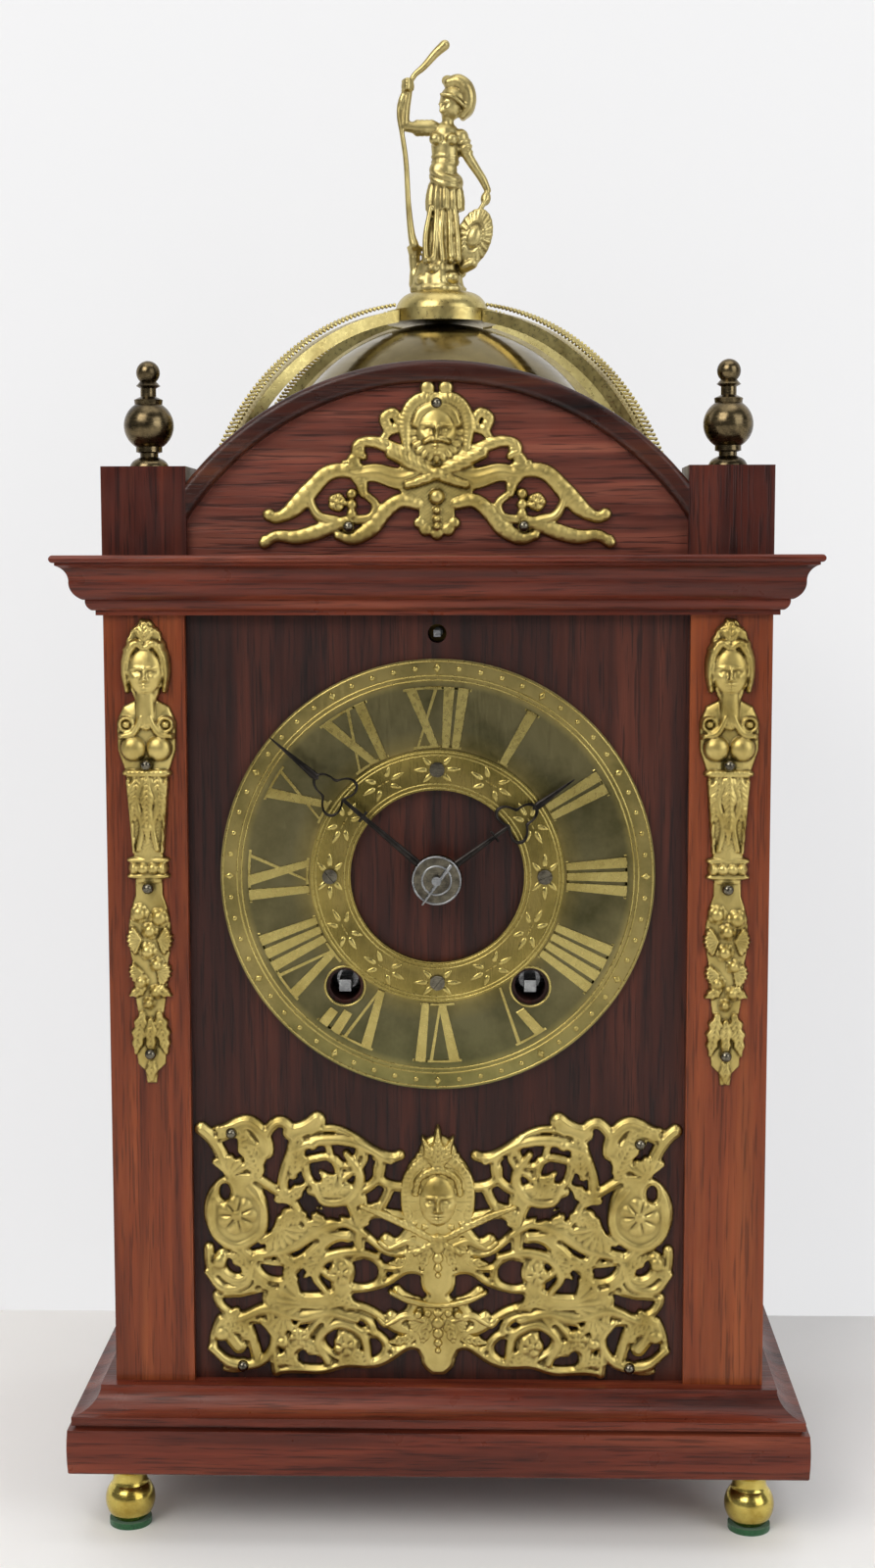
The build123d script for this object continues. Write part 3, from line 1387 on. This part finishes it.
with BuildPart() as figure:
    with BuildSketch(crown_plane(0).offset(0).shift_origin((0, crown_y, figure_foot))) as mound_profile:
        with BuildLine():
            Line((0, 0), (mound_radius, 0))
            waist = (mound_radius - 2.4, 4.6)
            ThreePointArc((mound_radius, 0), (mound_radius - 1.0, 2.6), waist)
            ThreePointArc(waist, (mound_radius - 1.8, 9.0), (mound_radius - 3.2, mound_height))
            Line((mound_radius - 3.2, mound_height), (0, mound_height))
            Line((0, mound_height), (0, 0))
        make_face()
    revolve(mound_profile.sketch, axis=crown_axis)
    sections = []
    for height, middle, wide, deep in robe_sections:
        with BuildSketch(Plane(origin=spot(middle, 0, height))) as section:
            Ellipse(wide, deep)
        sections.append(section.sketch.face())
    loft(sections)
    limb([spot(1.8, 0, 56.0), spot(2.0, 0, 61.0)], [2.2, 2.1])
    with Locations(spot(2.2, -0.4, 65.0)):
        Sphere(3.8)
    with Locations(spot(6.0, 0.2, 66.6)):
        Sphere(6.4)
    limb([spot(2.8, 0, 71.5), spot(7.0, 0, 73.4), spot(11.6, 0, 69.0)], [2.2, 2.2, 1.8])
    limb([spot(-1.4, 0, 56.6), spot(-13.2, 0, 57.6)], [2.5, 2.2])
    limb([spot(-13.2, 0, 57.6), spot(-14.0, 0, 65.5), spot(-11.0, 0, 72.6)], [2.2, 2.0, 1.8])
    limb([spot(*point) for point in staff_lower], [1.7, 1.4, 1.3, 1.3, 1.3])
    limb([spot(*point) for point in staff_upper], [1.2, 1.4, 1.7])
    limb([spot(-9.6, 0, 17.0), spot(-7.0, 0, 8.0)], [1.9, 2.6])
    limb([spot(-9.0, 0, 21.0), spot(-4.0, 0, 21.5)], [1.4, 1.6])
    limb([spot(*point) for point in sleeve], [2.8, 2.7, 2.2, 1.6, 1.9])
    shield_plane = Plane(origin=spot(12.0, -1.0, 18.5), x_dir=(1, 0, 0), z_dir=(0, -1, 0))
    with BuildSketch(shield_plane) as shield_outline:
        Ellipse(6.0, 9.8, rotation=-12)
    extrude(shield_outline.sketch, amount=1.5, both=True)
    upright_hole(bell_screw_radius + running, figure_foot - 1, figure_foot + bell_screw_bite + free_gap)
save(figure, "figure")

# Cast mounts: pierced outlines drawn as strokes, each a smooth path and a width.
# Only one half is drawn, x counted outward from the middle and y from the mount's foot.

fret_strokes = [
    # corner leaf
    ([(77.5, 84), (73.5, 80), (70.5, 74.5), (67.5, 68.5)], 3.9),
    # leaf over the corner pin
    ([(70.5, 82.5), (67, 84.5), (62.5, 86), (58, 82.5), (56.5, 76.5)], 4.8),
    # curl below it
    ([(64, 79.5), (59.8, 78.6), (57.8, 75), (59.5, 71.4), (61.5, 68)], 3.0),
    # wave from the rosette
    ([(65, 68.5), (59.5, 67.5), (54, 64), (48.5, 60.5), (44.5, 54), (38.5, 50), (29.5, 48.5)], 2.9),
    # small arch
    ([(58, 76.5), (56, 83), (51.5, 86.5), (48, 84), (48.5, 75), (49.5, 61.5)], 3.2),
    # leaf bundle
    ([(48, 83), (44, 84), (39.5, 87)], 5.2),
    # top outline
    ([(41.5, 82.5), (32.5, 84), (26.5, 81), (19.5, 76.5), (12, 75.5)], 1.9),
    # leaf tip
    ([(20, 75), (16, 74.5), (12.5, 75.5)], 2.9),
    # inner bow
    ([(47.5, 68.5), (45, 72.5), (40, 74.5), (35, 74.5), (32.5, 70), (32.5, 63.5)], 2.3),
    # inner hook
    ([(46.5, 76.5), (42, 79.5), (37.5, 80.5), (35.5, 77), (35, 74)], 1.9),
    # inner foot
    ([(43.5, 71.5), (41.5, 66), (37.5, 63), (32, 63.5)], 2.6),
    # loop side
    ([(27.5, 81.5), (26, 76), (29.5, 72), (33.5, 74)], 2.3),
    # crescent inside
    ([(26, 78.5), (24, 75), (26, 71.5), (29.5, 69), (32, 66)], 2.3),
    # crescent outside
    ([(20, 76), (19.5, 68.5), (22.5, 65), (27.5, 63), (34, 62), (41.5, 63.5)], 2.9),
    # bud mass
    ([(34, 63.5), (28.5, 63), (26, 60.5)], 5.2),
    # link to the hair
    ([(19.5, 71.5), (18, 66.5), (14, 65), (9.5, 65)], 2.9),
    # second link
    ([(15.5, 65), (17.5, 60.5), (20.5, 56.5), (27, 55.5)], 2.9),
    # band to the chin
    ([(27, 55.5), (19.5, 56), (11.5, 55), (3, 52)], 2.9),
    # stem
    ([(30.5, 61.5), (27, 55.5), (26, 49), (26, 42)], 3.5),
    # stem shoulder
    ([(26.5, 51), (21.5, 46.5), (16.5, 43), (10.5, 43)], 2.3),
    # wing
    ([(17, 47), (12.5, 46), (9, 50), (6.5, 52.5)], 3.9),
    # wing foot
    ([(10.5, 43.5), (11, 39), (15, 37.5), (18.5, 38)], 2.3),
    # ring
    ([(27.5, 41), (23, 41.5), (18.5, 37.5), (19, 33.5), (22.5, 31), (27.5, 31)], 2.3),
    # bud
    ([(32.5, 40), (30.2, 36.2), (32.5, 32)], 5.4),
    # lobe side
    ([(29.5, 47.5), (35.5, 46.5), (38.5, 43), (39.5, 39), (37, 35.5), (32, 33)], 2.6),
    # diagonal
    ([(35, 47.5), (40, 44.5), (45, 39.5), (49, 35), (52, 30.5)], 3.2),
    # fan leaf
    ([(49.5, 55.5), (50.5, 50), (54, 44), (59.5, 41.5)], 3.9),
    # fan leaf rib
    ([(51.5, 50), (45.5, 50), (38.5, 48.5)], 4.2),
    # fan leaf foot
    ([(54, 46), (51.5, 42), (49.5, 39.5)], 4.5),
    # fan leaf edge
    ([(59.5, 40), (54, 39), (49.5, 39)], 1.6),
    # hook under the fan
    ([(60, 41), (58.5, 35.5), (54, 33), (49, 34.5)], 2.3),
    # long curve
    ([(32, 30.5), (22, 31), (15.5, 33.5), (11, 36.5), (6, 36.5), (1.5, 33), (-1.5, 29)], 2.3),
    # side scroll
    ([(75.5, 44), (75, 37), (71.5, 30.5), (64.5, 29), (60, 32.5)], 2.9),
    # side scroll heart
    ([(71, 41.5), (70.5, 35), (66, 33), (62, 35.5), (63, 41.5), (66.5, 44)], 4.2),
    # side leaf
    ([(62.5, 42), (61.5, 36.5), (57.5, 31.5), (54, 30)], 3.2),
    # eye upper
    ([(72, 28), (64.5, 28.5), (57, 30.5)], 1.6),
    # eye lower
    ([(73, 28), (71, 23.5), (65, 21), (58.5, 22.5), (53.5, 25.5)], 2.6),
    # wide fan
    ([(55, 27), (45.5, 26), (37, 26.5), (30.5, 30.5)], 5.8),
    # lower crest
    ([(37.5, 24), (27, 24.5), (20, 21.5), (15, 17.5), (9.5, 16)], 2.6),
    # lower wing
    ([(15.5, 21.2), (11.6, 20.5), (9, 23), (7, 26)], 3.4),
    # strap
    ([(13.5, 30), (9.5, 27), (4, 25), (-1.5, 23.5)], 2.9),
    # lower side scroll
    ([(72, 20), (74, 15), (74, 9.5), (71, 6.5), (66, 5)], 2.3),
    # lower scroll heart
    ([(71, 17.5), (69, 14.5), (66, 10.5)], 4.5),
    # lower side leaf
    ([(71.5, 19.5), (64, 18.5), (61.5, 13), (59.5, 6)], 3.5),
    # lower link
    ([(64.5, 19), (59.5, 19.5), (53.5, 17.5)], 2.3),
    # lower mass
    ([(55.5, 22.5), (53.5, 17), (50.5, 12.5), (48.5, 6.5)], 4.2),
    # leaf below the pin
    ([(70.5, 3), (65, 3), (61.5, 5.5)], 1.8),
    # lower diagonal
    ([(35.5, 22), (41.5, 17), (44.5, 13), (49, 8.5)], 3.2),
    # lower lobe side
    ([(34, 21.5), (37.5, 17), (38.5, 12), (35, 8), (30.5, 6)], 2.6),
    # lower lobe top
    ([(37.5, 21.5), (28.5, 22), (23, 19.5), (21.5, 15)], 2.6),
    # lower ring
    ([(26, 15.5), (19.5, 14.5), (17, 10.5), (19.5, 6.5), (24, 5.5), (29, 8)], 2.6),
    # lower bud
    ([(31, 14.5), (28.3, 11), (31, 7.5)], 4.8),
    # bottom band
    ([(53, 2.5), (45, 3), (37.5, 3), (31, 5), (21.5, 5), (15, 8), (8.5, 11.5), (3, 8.5), (-1.5, 3)], 2.9),
    # bottom corner
    ([(54, 13), (54, 6.5), (53.5, 2)], 2.9),
    # lower wing foot
    ([(15, 17.5), (9.5, 15.5), (10.5, 11.5), (15, 10)], 2.3),
    # chin
    ([(3, 52.5), (5, 46), (8.5, 39.5)], 7.1),
    # breast
    ([(0, 49), (0, 33)], 11),
    # lower breast
    ([(0, 24), (0, 7)], 11),
    # lower flank
    ([(7, 20), (5, 12), (2, 6.5)], 5.2),
]
pediment_strokes = [
    # curl knob
    ([(17, 39), (15, 41.5)], 5.8),
    # curl
    ([(17.5, 37), (17.5, 33.5)], 2.9),
    # curl arm
    ([(16, 37.5), (12.5, 39), (7.5, 40.5)], 2.9),
    # upper arm
    ([(26, 32), (19.5, 33), (13.5, 31.5), (7.5, 29), (1, 26.5)], 3.5),
    # lower arm
    ([(25, 28.5), (22.5, 24), (17, 21.5), (10, 22), (3.5, 24)], 4.5),
    # side bud
    ([(29.5, 27), (27, 24), (23.5, 21.5)], 4.8),
    # stem
    ([(25, 21.5), (25.5, 17.5), (21.5, 16.5)], 2.9),
    # great scroll
    ([(26, 24), (32.5, 23), (37.5, 20), (40, 15), (38.5, 10), (34.5, 6.5), (29.5, 7)], 3.5),
    # scroll eye
    ([(33, 14), (31.5, 14)], 6.1),
    # scroll berries
    ([(27, 16), (28.5, 11.5)], 5.5),
    # small ring
    ([(25.5, 17.5), (21.5, 16.5), (19.5, 13), (21, 8)], 2.3),
    # lower scroll
    ([(5.5, 13.5), (11.5, 14), (16.5, 12), (19.5, 8), (23.5, 4.5), (28.5, 3), (32.5, 4)], 3.9),
    # pin seat
    ([(28.5, 6.5), (26, 7)], 5.2),
    # tail
    ([(30.5, 5), (37.5, 4), (44, 2.5), (50.5, 2), (53.5, 3)], 3.5),
    # garland
    ([(38.5, 19.5), (43, 14.5), (47, 11.5), (50.5, 9.5), (53.5, 9)], 4.2),
    # beard side
    ([(8, 29.5), (12, 22), (10.5, 15), (5.5, 10)], 7.1),
    # apron
    ([(0.5, 27), (0.5, 7.5)], 16.8),
]

mount_thickness = 2.4
mount_pin_radius = 1.9
fret_foot = plinth_top + 0.5
pediment_foot = cornice_top + 2.4
caryatid_foot = plinth_top + 100.5
caryatid_x = half_width - stile_width / 2 - 0.5


def stroke(points, width):
    """A smooth band of one width with round ends."""
    with BuildSketch() as band:
        with BuildLine() as path:
            if len(points) == 2:
                Line(*points)
            else:
                Spline(*points)
        trace(path.line, line_width=width)
        with Locations(points[0], points[-1]):
            Circle(width / 2)
    return band.sketch.face()


fret_pins = [(-67.5, 83.0), (66.0, 80.0), (63.0, 4.4), (-64.5, 4.4)]
pediment_pins = [(0.0, 45.0), (-28.0, 6.5), (27.5, 6.5)]
hole_radius = mount_shank_radius + running


def shank_holes_at(places, foot, y_back, y_front, radius=hole_radius):
    """Holes for the mounts' pins, at places counted from a mount's foot, in the active part."""
    with BuildSketch(front_plane(0, foot, y_back)) as holes:
        with Locations(places):
            Circle(radius)
    extrude(holes.sketch, amount=y_back - y_front, mode=Mode.SUBTRACT)


fret_rosette = (66.4, 56.5)
fret_rosette_width = 10.4
fret_rosette_height = 12.3
fret_rosette_eye = (70.0, 63.0)
fret_mask_height = 64.0
fret_crest_height = 76.0

with BuildPart() as lower_fret:
    with BuildSketch(front_plane(0, fret_foot, board_front)) as fret_outline:
        add([stroke(points, width) for points, width in fret_strokes])
        with Locations(fret_rosette):
            Ellipse(fret_rosette_width, fret_rosette_height)
        with Locations(fret_rosette_eye):
            Ellipse(2.0, 3.0, mode=Mode.SUBTRACT)
        mirror(about=Plane.YZ)
        with Locations((0, fret_mask_height)):
            Ellipse(11.5, 14.0)
        with Locations((0, fret_crest_height)):
            Ellipse(6.0, 6.0)
    extrude(fret_outline.sketch, amount=mount_thickness)
    shank_holes_at(fret_pins, fret_foot, board_front, board_front - mount_thickness)
save(lower_fret, "lower_fret")

pediment_mask_height = 34.5
pediment_headdress_height = 41.5
pediment_knob_height = 48.2

with BuildPart() as pediment_mount:
    with BuildSketch(front_plane(0, pediment_foot, panel_front)) as pediment_outline:
        add([stroke(points, width) for points, width in pediment_strokes])
        mirror(about=Plane.YZ)
        with Locations((0, pediment_mask_height)):
            Ellipse(9.4, 11.8)
        with Locations((0, pediment_headdress_height)):
            Ellipse(10.2, 6.5)
        with Locations((0, pediment_knob_height)):
            Circle(2.2)
    extrude(pediment_outline.sketch, amount=mount_thickness)
    shank_holes_at(pediment_pins, pediment_foot, panel_front, panel_front - mount_thickness)
save(pediment_mount, "pediment_mount")

# Half widths of the caryatid mount, up from its foot
caryatid_outline = [
    (0.0, 1.6), (4.0, 2.2), (6.5, 4.6), (16.5, 5.2), (23.0, 4.2), (26.0, 4.7), (32.5, 5.6), (40.0, 5.8),
    (45.0, 6.9), (52.5, 6.8), (57.5, 6.0), (62.0, 4.5), (67.0, 4.4), (67.5, 6.3), (74.2, 6.3), (74.7, 4.9),
    (87.0, 5.4), (96.0, 6.5), (100.5, 6.9), (103.0, 7.4), (109.0, 9.4), (118.0, 9.6), (123.0, 7.5),
    (125.0, 3.6), (129.0, 5.4), (134.0, 7.4), (141.0, 7.5), (147.0, 5.0), (151.0, 1.6),
]
caryatid_pin_heights = [10.1, 64.4, 104.3]
caryatid_depth = 2.8

with BuildPart() as caryatid_mounts:
    for side in (-1, 1):
        with BuildSketch(front_plane(side * caryatid_x, caryatid_foot, body_front)) as caryatid:
            right_edge = [(half, height) for height, half in caryatid_outline]
            left_edge = [(-half, height) for height, half in reversed(caryatid_outline)]
            with BuildLine():
                Polyline(*right_edge, *left_edge, close=True)
            make_face()
        extrude(caryatid.sketch, amount=caryatid_depth)
    for side in (-1, 1):
        with BuildSketch(front_plane(side * caryatid_x, caryatid_foot, body_front)) as shank_holes:
            with Locations([(0, height) for height in caryatid_pin_heights]):
                Circle(mount_shank_radius + running)
        extrude(shank_holes.sketch, amount=caryatid_depth, mode=Mode.SUBTRACT)
save(caryatid_mounts, "caryatid_mounts")


def mount_pins_at(places, foot, y_seat):
    """Domed pins through a mount into the wood, in the active part."""
    for x, z in places:
        with BuildSketch(front_plane(x, foot + z, y_seat)) as shank:
            Circle(mount_shank_radius)
        extrude(shank.sketch, amount=-mount_shank_length)
        with BuildSketch(Plane(origin=(x, y_seat, foot + z), x_dir=(0, -1, 0), z_dir=(1, 0, 0))) as quarter:
            with BuildLine():
                CenterArc((0, 0), mount_pin_radius, 0, 90)
                Line((0, mount_pin_radius), (0, 0))
                Line((0, 0), (mount_pin_radius, 0))
            make_face()
        revolve(quarter.sketch, axis=Axis((x, y_seat, foot + z), (0, -1, 0)))


caryatid_pin_places = [
    (side * caryatid_x, caryatid_foot + height) for side in (-1, 1) for height in caryatid_pin_heights
]

with BuildPart() as mount_pins:
    mount_pins_at(fret_pins, fret_foot, board_front - mount_thickness)
    mount_pins_at(pediment_pins, pediment_foot, panel_front - mount_thickness)
    mount_pins_at(caryatid_pin_places, 0, body_front - caryatid_depth)
    with BuildSketch(Plane.XY.offset(cornice_top - mount_shank_length)) as cage_shanks:
        with Locations(cage_screw_places):
            Circle(mount_shank_radius)
    extrude(cage_shanks.sketch, amount=mount_shank_length + cage_pad_height)
    with BuildSketch(Plane.XY.offset(cornice_top + cage_pad_height)) as cage_heads:
        with Locations(cage_screw_places):
            Circle(mount_pin_radius)
    extrude(cage_heads.sketch, amount=1.2, taper=25)
save(mount_pins, "mount_pins")

# Boards that carry the mounts, drilled for their pins

with BuildPart() as pediment_panel:
    extrude(arch_outline(arch_inner, 0, panel_back), amount=panel_back - panel_front)
    shank_holes_at(pediment_pins, pediment_foot, panel_front + mount_shank_length, panel_front)
save(pediment_panel, "pediment_panel")

with BuildPart() as front_stiles:
    block(stile_inner, half_width, body_front, side_front, plinth_top, body_top)
    mirror(about=Plane.YZ)
    shank_holes_at(caryatid_pin_places, 0, body_front + mount_shank_length, body_front)
save(front_stiles, "front_stiles")

hour_pipe_hole = 4.3
winding_board_hole = 5.0
regulator_hole = 3.0

with BuildPart() as front_board:
    block(-stile_inner, stile_inner, board_front, board_back, plinth_top, body_top)
    disc(0, 0, board_front, board_back, hour_pipe_hole, Mode.SUBTRACT)
    disc(*regulator_place, board_front, board_back, regulator_hole, Mode.SUBTRACT)
    for place in winding_places:
        disc(*place, board_front, board_back, winding_board_hole, Mode.SUBTRACT)
    for place in mounting_places:
        disc(*place, board_back - mounting_bite, board_back, screw_radius + running, Mode.SUBTRACT)
    for place in dial_screw_places:
        hole_back = board_front + dial_shank_length
        disc(*place, board_front, hole_back, dial_shank_radius + running, Mode.SUBTRACT)
    shank_holes_at(fret_pins, fret_foot, board_front + mount_shank_length, board_front)
save(front_board, "front_board")

# Pendulum: suspension spring, rod with its rating nut, and the bob

spring_half_thickness = 0.15
spring_width = 4.0
hanger_radius = 0.6
rod_top = anchor_place[1] - 3.0
bob_height = anchor_place[1] - pendulum_length
bob_thickness = 8.0
bob_flat = 3.0
rating_nut_radius = 5.0
rating_nut_height = 3.0
rod_foot = bob_height - pendulum_bob_radius - 10.0

with BuildPart() as pendulum_rod:
    spring_top = block_high + free_gap + hanger_radius * 2
    block(
        -spring_half_thickness, spring_half_thickness, rod_y - spring_width / 2, rod_y + spring_width / 2,
        rod_top + dial_height, spring_top + dial_height,
    )
    hanger_height = spring_top - hanger_radius + dial_height
    hanger_plane = Plane(origin=(-3.0, rod_y, hanger_height), x_dir=(0, 1, 0), z_dir=(1, 0, 0))
    with BuildSketch(hanger_plane) as hanger:
        Circle(hanger_radius)
    extrude(hanger.sketch, amount=6.0)
    with BuildSketch(Plane.XY.offset(rod_foot + dial_height)) as rod:
        with Locations((0, rod_y)):
            Circle(rod_radius)
    extrude(rod.sketch, amount=rod_top + 1.0 - rod_foot)
    nut_top_height = bob_height - pendulum_bob_radius - free_gap + dial_height
    with BuildSketch(Plane.XY.offset(nut_top_height - rating_nut_height)) as rating_nut:
        with Locations((0, rod_y)):
            Circle(rating_nut_radius)
    extrude(rating_nut.sketch, amount=rating_nut_height)
save(pendulum_rod, "pendulum_rod")

with BuildPart() as pendulum_bob:
    lens_plane = Plane(origin=(0, rod_y, bob_height + dial_height), x_dir=(0, -1, 0), z_dir=(1, 0, 0))
    with BuildSketch(lens_plane) as lens:
        half_lens = bob_thickness / 2
        bulge = (bob_thickness * 0.40, pendulum_bob_radius * 0.6)
        with BuildLine():
            Line((-half_lens, 0), (half_lens, 0))
            Line((half_lens, 0), (half_lens, bob_flat))
            ThreePointArc((half_lens, bob_flat), bulge, (0.6, pendulum_bob_radius))
            Line((0.6, pendulum_bob_radius), (-0.6, pendulum_bob_radius))
            ThreePointArc((-0.6, pendulum_bob_radius), (-bulge[0], bulge[1]), (-half_lens, bob_flat))
            Line((-half_lens, bob_flat), (-half_lens, 0))
        make_face()
    revolve(lens.sketch, axis=Axis((0, rod_y, bob_height + dial_height), (0, -1, 0)))
    with BuildSketch(Plane.XY.offset(rod_foot + dial_height)) as rod_hole:
        with Locations((0, rod_y)):
            Circle(rod_radius + running)
    extrude(rod_hole.sketch, amount=pendulum_length, mode=Mode.SUBTRACT)
save(pendulum_bob, "pendulum_bob")
